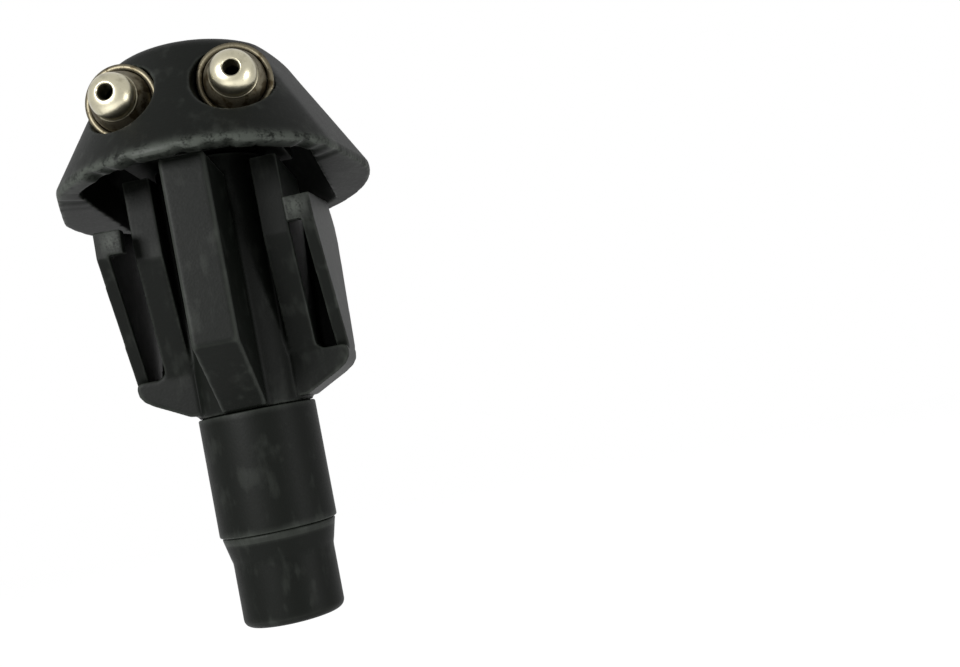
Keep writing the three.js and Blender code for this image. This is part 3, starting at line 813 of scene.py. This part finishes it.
def mark_rub(piece, cap, reach):
    """Stores how much the cap's lower edge is rubbed: a band just above it, stronger in front.

    The band falls off as a bell of the height above the underside, and fades towards the axis.
    """
    middle, spread, depth = 0.25, 0.42, 1.2
    points = points_before(piece, cap_tilt(cap))
    around = np.hypot(points[:, 0], points[:, 1])
    band = np.exp(-(((points[:, 2] - middle) / spread) ** 2))
    front = np.clip(0.25 - points[:, 1] / reach, 0, 1)
    store(piece, "rub", band * front * np.clip(around - reach + depth, 0, 1))


class NOZZLE_OT_cap(bpy.types.Operator):
    """Builds the cap"""

    bl_idname = "nozzle.cap"
    bl_label = "Cap"

    def execute(self, context):
        solids, cuts = build_cap(context.scene)
        piece = moulded("cap_skin", solids, cuts, LARGE_GRAIN)
        mark_rub(piece, inside_mm(context.scene.nozzle_cap), span("cap")[1][0])
        finish_piece(piece, black_plastic(), "housing", ["cap"])
        return {"FINISHED"}


def wing_outline(body, tongue_inner, side):
    """Foot of a wing seen from the front: it closes the slot behind the tongue in a round."""
    half = (tongue_inner - body.web_outer) / 2
    under_tongue = 0.76  # a little less than the tongue's wall, so that its face stands free
    outer = tongue_inner + under_tongue
    edge = body.foot_top - body.foot_corner
    underside = [[0, 0], [0.08, 0.45], [0.36, 0.85], [0.96, 1.25], [1.86, 1.7]]  # in and down
    outline = np.concatenate([
        [[body.web_inner, body.foot_top + half]],
        arc((body.web_outer + half, body.foot_top + half), half, 180, 270),
        [[outer - 0.26, body.foot_top], [outer - 0.06, body.foot_top - 0.15]],
        np.array([outer, edge]) - underside,
        [[body.core + 0.1, body.foot_bottom], [body.web_inner, body.foot_bottom]],
    ])
    return outline * [side, 1]


def slot_wall(body, tongue, tongue_inner, side):
    """Wall behind a tongue: a rectangle carried up, whose end keeps clear of the bent tongue."""
    half = body.slot_wall / 2
    sunk = 0.2  # into the foot
    room = 0.12  # left when the tongue is fully bent
    heights = np.array([body.foot_top - sunk, body.foot_top, body.web_shoulder, tongue.top_front])
    back = np.interp(heights, [body.foot_top, body.web_shoulder], [body.slot_foot, body.slot_reach])
    slope = math.tan(math.radians(tongue.lean + tongue.bend))
    end = tongue_inner - room - slope * np.maximum(heights - body.foot_top, 0)
    start = np.full_like(end, body.web_outer - body.slot_wall)
    grid = np.stack([
        np.stack([side * x, back + y, heights], 1)
        for x, y in ((start, -half), (end, -half), (end, half), (start, half))], 1)
    faces = wrap_faces(len(heights), 4).tolist()
    faces.append([0, 1, 2, 3])
    faces.append([4 * len(heights) - i for i in (4, 3, 2, 1)])
    return grid.reshape(-1, 3), faces


class NOZZLE_OT_body(bpy.types.Operator):
    """Builds the moulded body with its ribs, webs and wing feet"""

    bl_idname = "nozzle.body"
    bl_label = "Body"

    def execute(self, context):
        body = inside_mm(context.scene.nozzle_body)
        tongue = inside_mm(context.scene.nozzle_tongue)
        cap = inside_mm(context.scene.nozzle_cap)
        low, high = span("body")
        housing_top = span("valve_housing")[1][2]
        head_top = high[2]
        head_length = 2.1
        core_top = head_top - head_length
        seal_z = span("manifold_seal")[0][2] / 2 + span("manifold_seal")[1][2] / 2
        groove, groove_half = 0.5, 0.25  # depth and half height of the head seal's groove
        gallery, socket = 1.2, 2.95  # radii of the water's way and of the valve housing's socket
        fit = 0.05
        rib_end_chamfer = 0.5
        web_top = 0.6
        tongue_inner = high[0] - tongue.wall
        rib = np.array([
            [high[1], body.rib_foot], [body.rib_end_reach, body.rib_end],
            [body.rib_end_reach - rib_end_chamfer, body.rib_end - rib_end_chamfer],
        ])
        web = np.array([
            [body.web_reach, web_top], [body.web_reach, body.web_shoulder],
            [body.foot_reach, body.foot_top],
            [body.foot_reach, body.foot_top - body.foot_corner - body.foot_cut],
        ])
        ribs, webs = (np.concatenate([half, half[::-1] * [-1, 1]]) for half in (rib, web))
        tops = [[y, (cap.pivot - y) * math.tan(math.radians(cap.tilt)) + body.rib_top]
                for y in (-high[1], high[1])]
        head = [[0, core_top - 1], [body.head, core_top - 1], [body.head, seal_z - groove_half],
                [body.head - groove, seal_z - groove_half],
                [body.head - groove, seal_z + groove_half],
                [body.head, seal_z + groove_half], [body.head, head_top], [0, head_top]]
        solids = [
            rod(body.core, low[2], core_top, ROUND),
            turned(head),
            prism(np.concatenate([ribs, tops]), -body.rib / 2, body.rib / 2, 0),
        ]
        for side in (-1, 1):
            walls = sorted((side * body.web_inner, side * body.web_outer))
            foot = wing_outline(body, tongue_inner, side)
            solids.append(prism(webs, walls[0], walls[1], 0))
            solids.append(prism(foot, -body.foot_reach, body.foot_reach, 1))
            solids.append(slot_wall(body, tongue, tongue_inner, side))
        cuts = [rod(gallery, low[2] - 1, head_top + 1),
                rod(socket, low[2] - 1, housing_top + fit, ROUND)]
        piece = moulded("body_moulding", solids, cuts, LARGE_GRAIN)
        finish_piece(piece, black_plastic(), "housing", ["body"])
        return {"FINISHED"}


class NOZZLE_OT_tongues(bpy.types.Operator):
    """Builds both snap tongues, leaning in from their root"""

    bl_idname = "nozzle.tongues"
    bl_label = "Snap tongues"

    def execute(self, context):
        body = inside_mm(context.scene.nozzle_body)
        tongue = inside_mm(context.scene.nozzle_tongue)
        root_depth = 0.5  # how far the tongue goes into the foot
        stop_root = 0.1  # how far the stop goes into the tongue
        for side, name in ((-1, "left"), (1, "right")):
            outer = side * span("body")[1][0]
            inner = outer - side * tongue.wall
            middle = (outer + inner) / 2
            foot = body.foot_top - root_depth
            outline = np.array([
                [tongue.top_reach, tongue.top_rear], [tongue.rear_reach, tongue.ear],
                [tongue.rear_reach, tongue.shoulder], [tongue.foot_reach, body.foot_top],
                [tongue.foot_reach, foot], [-tongue.foot_reach, foot],
                [-tongue.foot_reach, body.foot_top], [-tongue.reach, tongue.shoulder],
                [-tongue.reach, tongue.top_front],
            ])
            walls = sorted((inner, outer))
            stop = box(
                (inner - side * (tongue.stop_width / 2 - stop_root),
                 -tongue.reach + tongue.stop_depth / 2, tongue.top_front - tongue.stop_height / 2),
                (tongue.stop_width + 2 * stop_root, tongue.stop_depth, tongue.stop_height))
            lean = turn_about((middle, 0, body.foot_top), -side * tongue.lean, "Y")
            solids = [moved(shape, lean) for shape in (prism(outline, walls[0], walls[1], 0), stop)]
            piece = moulded(f"{name}_tongue", solids, [], TONGUE_GRAIN, smooth=3)
            points = positions(piece.data)
            stop_middle = [inner - side * 0.5, -tongue.reach, tongue.top_front - 0.7]
            rubbed = ((points / MM - stop_middle) ** 2).sum(1)
            store(piece, "rub", 0.9 * np.exp(-rubbed / 0.5))
            # the root stays just inside the foot, so that their faces don't meet
            root = np.clip((body.foot_top * MM - points[:, 2]) / (root_depth * MM), 0, 1)
            points[:, 0] -= side * 0.09 * MM * root
            points[:, 1] *= 1 - 0.02 * root
            piece.data.vertices.foreach_set("co", points.ravel())
            finish_piece(piece, black_plastic(), None, [f"{name}_snap_tongue"])
            middle * MM
            middle * MM
            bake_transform(piece)
        return {"FINISHED"}


class NOZZLE_OT_stem(bpy.types.Operator):
    """Builds the valve housing and the hose spigot"""

    bl_idname = "nozzle.stem"
    bl_label = "Stem"

    def execute(self, context):
        low, high = span("valve_housing")
        radius = high[0]
        fit = 0.05
        seat = span("body")[0][2] - fit
        chamber_top = span("valve_spring")[1][2] + fit
        edge = 0.12
        plug, plug_chamfer, gallery, chamber = 2.9, 0.2, 1.2, 2.35
        profile = np.concatenate([
            [[chamber, low[2]]],
            arc((radius - edge, low[2] + edge), edge, -90, 0, 5),
            np.linspace([radius, low[2] + 0.5], [radius, seat - 0.5], 12),
            arc((radius - edge, seat - edge), edge, 0, 90, 5),
            [[plug, seat], [plug, high[2] - plug_chamfer], [plug - plug_chamfer, high[2]],
             [gallery, high[2]], [gallery, chamber_top], [chamber, chamber_top]],
        ])
        housing = make_mesh("valve_housing_skin", [turned(profile)])
        finish_piece(housing, black_plastic(), "housing", ["valve_housing"])

        low, high = span("hose_spigot")
        tip, neck, bore, seat_hole = 3.3, 2.3, 1.9, 1.3
        shoulder = high[0]
        top = span("valve_housing")[0][2] - fit
        step = top - 1.55
        rim, bore_rim = 0.5, 0.15
        profile = np.concatenate([
            [[bore, low[2] + bore_rim]],
            arc((bore + bore_rim, low[2] + bore_rim), bore_rim, 180, 270, 4),
            arc((tip - rim, low[2] + rim), rim, -90, 0, 10),
            np.linspace([tip, low[2] + rim + 0.3], [tip, step - 0.35], 10),
            [[tip + 0.01, step - 0.15], [tip + 0.06, step + 0.05]],
            np.linspace([tip + 0.09, step + 0.15], [shoulder, top - 0.1], 8),
            [[shoulder - 0.05, top], [neck, top], [neck, high[2]],
             [seat_hole, high[2]], [seat_hole, step], [bore, step]],
        ])
        spigot = make_mesh("hose_spigot_skin", [turned(profile)])
        finish_piece(spigot, black_plastic(), "housing", ["hose_spigot"])
        return {"FINISHED"}


def mark_ball_shade(piece, place, waist):
    """Stores painted shade on a jet: full on the ball, and none from just above the foot of the
    nose.
    """
    above, fade = 0.15, 0.3
    points = points_before(piece, place)
    store(piece, "ball_shade", np.clip((waist + above - points[:, 2]) / fade, 0, 1))


class NOZZLE_OT_jets(bpy.types.Operator):
    """Builds both ball jets and the rings they turn in"""

    bl_idname = "nozzle.jets"
    bl_label = "Ball jets"

    def execute(self, context):
        jet = inside_mm(context.scene.nozzle_jet)
        metal = finish(jet_metal, "jet_metal", context.scene.nozzle_finishes)
        # The seat ring gets a darker copy of the jet metal, painted shade for the pocket that it
        # sits in.
        ring_pocket_shade = 0.8
        shaded_ring_metal = finish(jet_metal, "seat_metal_in_shade", context.scene.nozzle_finishes, ring_pocket_shade)
        waist = math.sqrt(jet.ball**2 - jet.nose**2)
        back = -math.degrees(math.acos(jet.bore / jet.ball))
        shoulder = math.degrees(math.atan2(waist, jet.nose)) - 3
        round_nose = (jet.reach - waist) * 0.86
        fillet = 0.12
        lip = 0.1
        ball = np.concatenate([
            arc((0, 0), jet.ball, back + 1, shoulder, 40),
            arc((jet.nose + fillet, waist + fillet / 2), fillet, 250, 180, 5),
            arc((jet.nose - round_nose, jet.reach - round_nose), round_nose, 0, 84, 16),
            arc((jet.orifice + lip, jet.reach - lip - 0.02), lip, 95, 180, 5),
            [[jet.orifice, jet.reach - 0.5], [jet.orifice - 0.03, waist], [jet.bore, waist - 0.1]],
        ])
        inner = jet.ball + jet.gap
        outer = inner + jet.ring

        def at(radius, z):
            """Angle at which an arc of that radius reaches a height."""
            return math.degrees(math.asin(z / radius))

        ring = np.concatenate([
            arc((0, 0), outer, at(outer, -jet.ring_back), at(outer, jet.ring_front), 12),
            arc((0, 0), inner, at(inner, jet.ring_front), at(inner, -jet.ring_back), 12),
        ])
        for name in ("left", "right"):
            tilt = Vector(joint(f"{name}_jet_tilt")["axis"])
            aim = math.degrees(math.atan2(-tilt.y, -tilt.x))
            place = socket_frame(f"{name}_jet_pan", aim, -jet.rise)
            piece = make_mesh(f"{name}_jet", [moved(turned(ball, FINE), place)])
            # Painted shade on the ball behind the nose, which sits down in its dark pocket.
            mark_ball_shade(piece, place, waist)
            finish_piece(piece, metal, f"{name}_jet", [f"{name}_ball_jet"])
            level = socket_frame(f"{name}_jet_pan", aim)
            seat = make_mesh(f"{name}_seat", [moved(turned(ring, FINE), level)])
            finish_piece(seat, shaded_ring_metal, f"{name}_seat", [f"{name}_seat_ring"])
        return {"FINISHED"}


def torus(radius, section, z=0.0):
    """Rubber ring: a circle at that radius, carried round the axis."""
    return turned(arc((radius, z), section, 0, 345, 23), FINE)


class NOZZLE_OT_seals(bpy.types.Operator):
    """Builds the rubber rings"""

    bl_idname = "nozzle.seals"
    bl_label = "Seals"

    def execute(self, context):
        rubber = finish(soft_rubber, "black_rubber")
        for name in ("left", "right"):
            low, high = span(f"{name}_jet_seal")
            section = (high[1] - low[1]) / 2
            radius = (high[2] - low[2]) / 2 - section
            depth = (high[1] + low[1]) / 2 - joint_place(f"{name}_jet_pan").y
            ring = moved(torus(radius, section, -depth), socket_frame(f"{name}_jet_pan"))
            piece = make_mesh(f"{name}_ring_seal", [ring])
            finish_piece(piece, rubber, "housing", [f"{name}_jet_seal"],
                         edges=False)
        low, high = span("manifold_seal")
        section = (high[2] - low[2]) / 2
        piece = make_mesh("head_seal", [torus(high[0] - section, section, (high[2] + low[2]) / 2)])
        finish_piece(piece, rubber, "housing", ["manifold_seal"], edges=False)
        low, high = span("valve_seat_seal")
        outer, hole, bevel = high[0], 1.1, 0.05
        flat = make_mesh("seat_washer", [turned([
            [hole + bevel, low[2]], [outer - bevel, low[2]], [outer, low[2] + bevel],
            [outer, high[2] - bevel], [outer - bevel, high[2]], [hole + bevel, high[2]],
            [hole, high[2] - bevel], [hole, low[2] + bevel]], FINE)])
        finish_piece(flat, rubber, "housing", ["valve_seat_seal"], edges=False)
        return {"FINISHED"}


class NOZZLE_OT_valve(bpy.types.Operator):
    """Builds the poppet and its spring"""

    bl_idname = "nozzle.valve"
    bl_label = "Non-return valve"

    def execute(self, context):
        low, high = span("valve_poppet")
        head, guide, bevel, tip_round = high[0], 0.8, 0.06, 0.12
        base = low[2] + 0.5
        back = base + 0.6
        poppet = turned(np.concatenate([
            [[0, low[2]], [0.46, low[2]], [0.54, low[2] + 0.04], [1.0, base],
             [head - bevel, base], [head, base + bevel], [head, back - bevel],
             [head - bevel, back], [guide + bevel, back], [guide, back + bevel],
             [guide, high[2] - tip_round]],
            arc((guide - tip_round, high[2] - tip_round), tip_round, 10, 90, 4),
            [[0, high[2]]],
        ]), FINE)
        piece = make_mesh("poppet_moulding", [poppet])
        finish_piece(piece, finish(white_plastic, "white_plastic"), "poppet",
                     ["valve_poppet"], edges=False)
        low, high = span("valve_spring")
        wire = 0.2
        turns = 3
        turn = np.linspace(0, turns, 181)
        reach = high[0] - wire
        rise = low[2] + wire + (high[2] - low[2] - 2 * wire) * turn / turns
        path = np.stack([reach * np.cos(2 * math.pi * turn),
                         reach * np.sin(2 * math.pi * turn), rise], 1)
        spring = make_mesh("spring_wire", [tube_along(path, wire, 14)])
        finish_piece(spring, finish(wire_steel, "spring_steel"), "housing",
                     ["valve_spring"], edges=False)
        lift = joint("valve_lift")["range_m"][1] / MM
        room = 0.04  # between the spring and the lifted poppet
        keep = 1 - (lift + room) / (high[2] - low[2])
        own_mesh(spring)
        return {"FINISHED"}


class NOZZLE_OT_strainer(bpy.types.Operator):
    """Builds the strainer's cage and screen"""

    bl_idname = "nozzle.strainer"
    bl_label = "Strainer"

    def execute(self, context):
        low, high = span("strainer_cage")
        outer, wall, ring = high[0], 0.45, 0.55
        inner = outer - wall

        def hoop(z):
            """Flat ring of the cage, standing on a height."""
            return turned([[inner, z], [outer, z], [outer, z + ring], [inner, z + ring]], FINE)

        solids = [hoop(low[2]), hoop(high[2] - ring)]
        middle = (low[2] + high[2]) / 2
        for leg in range(3):
            bar = box((inner + wall / 2, 0, middle), (0.43, 0.7, high[2] - low[2] - 0.1))
            solids.append(moved(bar, Matrix.Rotation(math.radians(120 * leg), 4, "Z")))
        cage = moulded("cage_moulding", solids, [], CAGE_GRAIN, smooth=2)
        finish_piece(cage, finish(white_plastic, "white_plastic"), "housing",
                     ["strainer_cage"], edges=False)
        low, high = span("strainer_screen")
        outer, wall, bevel, edge = high[0], 0.15, 0.1, 0.2
        inner, roof = outer - wall, high[2] - wall
        screen = make_mesh("screen_cup", [turned(np.concatenate([
            [[0, roof], [inner - bevel, roof], [inner, roof - bevel], [inner, low[2]],
             [outer, low[2]]],
            arc((outer - edge, high[2] - edge), edge, 0, 90, 5),
            [[0, high[2]]],
        ]), FINE)])
        finish_piece(screen, finish(screen_mesh, "screen_steel"), "housing",
                     ["strainer_screen"], edges=False)
        return {"FINISHED"}


# ---- stage -------------------------------------------------------------------------------------


def area_light(name, place, target, size, power):
    """Soft white square lamp at a place in millimetres, facing the target."""
    data = bpy.data.lights.new(name, "AREA")
    data.shape = "SQUARE"
    data.size = size * MM
    data.energy = power
    lamp = bpy.data.objects.new(name, data)
    bpy.context.scene.collection.objects.link(lamp)
    lamp.location = Vector(place) * MM
    lamp.rotation_euler = (Vector(target) * MM - lamp.location).to_track_quat("-Z", "Y").to_euler()


class NOZZLE_OT_stage(bpy.types.Operator):
    """Sets the floor, the light and the camera"""

    bl_idname = "nozzle.stage"
    bl_label = "Stage"

    def execute(self, context):
        scene = context.scene
        stage = scene.nozzle_stage
        ground = Finish("pale_floor")
        ground.set(Base_Color=(0.99, 0.99, 0.99, 1), Roughness=1.0, Specular_IOR_Level=0.0)
        half = 0.6  # metres
        side = np.linspace(-half, half, stage.steps + 1)
        x, y = np.meshgrid(side, side, indexing="ij")
        level = np.full_like(x, cad_box[0][2] - stage.floor_gap)
        points = np.stack([x, y, level], -1).reshape(-1, 3)
        count = stage.steps + 1
        i, j = np.meshgrid(np.arange(stage.steps), np.arange(stage.steps), indexing="ij")
        first = (i * count + j).ravel()
        faces = np.stack([first, first + count, first + count + 1, first + 1], 1)
        mesh = bpy.data.meshes.new("floor")
        mesh.from_pydata(points.tolist(), [], faces.tolist())
        mesh.materials.append(ground.material)
        floor = bpy.data.objects.new("floor", mesh)
        scene.collection.objects.link(floor)

        world = bpy.data.worlds.new("studio")
        world.use_nodes = True
        background = world.node_tree.nodes["Background"]
        background.inputs["Color"].default_value = (1, 1, 1, 1)
        background.inputs["Strength"].default_value = 1.0
        scene.world = world
        middle = (0, 0, -8)
        area_light("key", (-70, -130, 30), middle, size=50, power=0.4)
        area_light("fill", (120, -60, -30), middle, size=40, power=0.08)
        scene.view_settings.view_transform = "Standard"

        camera = bpy.data.cameras.new("camera")
        camera.lens = stage.lens
        camera.sensor_width = 36
        camera.clip_start = 0.001
        view = bpy.data.objects.new("camera", camera)
        scene.collection.objects.link(view)
        upright = Matrix(((1, 0, 0), (0, 0, -1), (0, 1, 0)))
        turn = (Matrix.Rotation(stage.roll, 3, "Z") @ Matrix.Rotation(stage.pitch, 3, "X") @ upright
                @ Matrix.Rotation(stage.heading, 3, "Z"))
        place = -(turn.transposed() @ Vector((stage.across, stage.below, stage.away)))
        axes = Matrix((turn[0], -turn[1], -turn[2])).transposed()
        view.matrix_world = Matrix.Translation(place) @ axes.to_4x4()
        scene.camera = view
        return {"FINISHED"}


# ---- add-on ------------------------------------------------------------------------------------

OPERATORS = (NOZZLE_OT_stage, NOZZLE_OT_cap, NOZZLE_OT_body, NOZZLE_OT_tongues, NOZZLE_OT_stem,
             NOZZLE_OT_jets, NOZZLE_OT_seals, NOZZLE_OT_valve, NOZZLE_OT_strainer)
GROUPS = {"nozzle_cap": CapSizes, "nozzle_body": BodySizes, "nozzle_tongue": TongueSizes,
          "nozzle_jet": JetSizes, "nozzle_finishes": Finishes, "nozzle_stage": StageSettings}


class NOZZLE_PT_panel(bpy.types.Panel):
    """Lists the sizes, the colours and one button for each piece"""

    bl_label = "Washer nozzle"
    bl_space_type = "VIEW_3D"
    bl_region_type = "UI"
    bl_category = "Nozzle"

    def draw(self, context):
        for key, group in GROUPS.items():
            section = self.layout.box()
            section.label(text=group.__doc__)
            for name in group.__annotations__:
                section.prop(getattr(context.scene, key), name)
        for operator in OPERATORS:
            self.layout.operator(operator.bl_idname)


CLASSES = (*GROUPS.values(), *OPERATORS, NOZZLE_PT_panel)


def register():
    for item in CLASSES:
        bpy.utils.register_class(item)
    for key, group in GROUPS.items():
        setattr(bpy.types.Scene, key, PointerProperty(type=group))


def unregister():
    for key in GROUPS:
        delattr(bpy.types.Scene, key)
    for item in reversed(CLASSES):
        bpy.utils.unregister_class(item)


def main():
    register()
    for operator in OPERATORS:
        getattr(bpy.ops.nozzle, operator.bl_idname.split(".")[1])()


if __name__ == "__main__":
    main()
